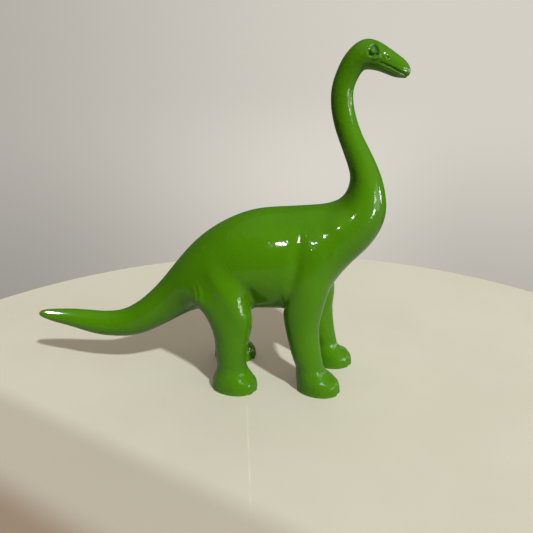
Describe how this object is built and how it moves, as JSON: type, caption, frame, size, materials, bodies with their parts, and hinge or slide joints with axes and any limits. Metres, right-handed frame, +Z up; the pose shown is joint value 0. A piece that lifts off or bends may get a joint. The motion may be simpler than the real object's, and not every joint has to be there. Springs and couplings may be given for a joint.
{
  "type": "toy dinosaur figure",
  "caption": "Standing long-necked dinosaur figure in rigid gloss plastic, glued from hollow shells with plug-in head, tail and legs.",
  "frame": {"origin": "on the surface the figure stands on, at the middle of its footprint box", "axes": "+X towards the snout, +Y towards the figure's left side, +Z up"},
  "size_m": [0.2279, 0.0598, 0.1993],
  "materials": {
    "body_lacquer": "smooth high-gloss apple-green lacquer",
    "head_lacquer": "smooth high-gloss apple-green lacquer",
    "leg_lacquer": "smooth high-gloss apple-green lacquer",
    "sole_plastic": "satin green plastic, worn where it stands"
  },
  "bodies": {
    "root": {"torso_shell_right": "body_lacquer", "torso_shell_left": "body_lacquer", "neck_shell_right": "body_lacquer", "neck_shell_left": "body_lacquer", "head": "head_lacquer", "tail_shell_right": "body_lacquer", "tail_shell_left": "body_lacquer", "leg_front_right": "leg_lacquer", "leg_front_left": "leg_lacquer", "leg_hind_right": "leg_lacquer", "leg_hind_left": "leg_lacquer", "sole_front_right": "sole_plastic", "sole_front_left": "sole_plastic", "sole_hind_right": "sole_plastic", "sole_hind_left": "sole_plastic"}
  },
  "joints": []
}
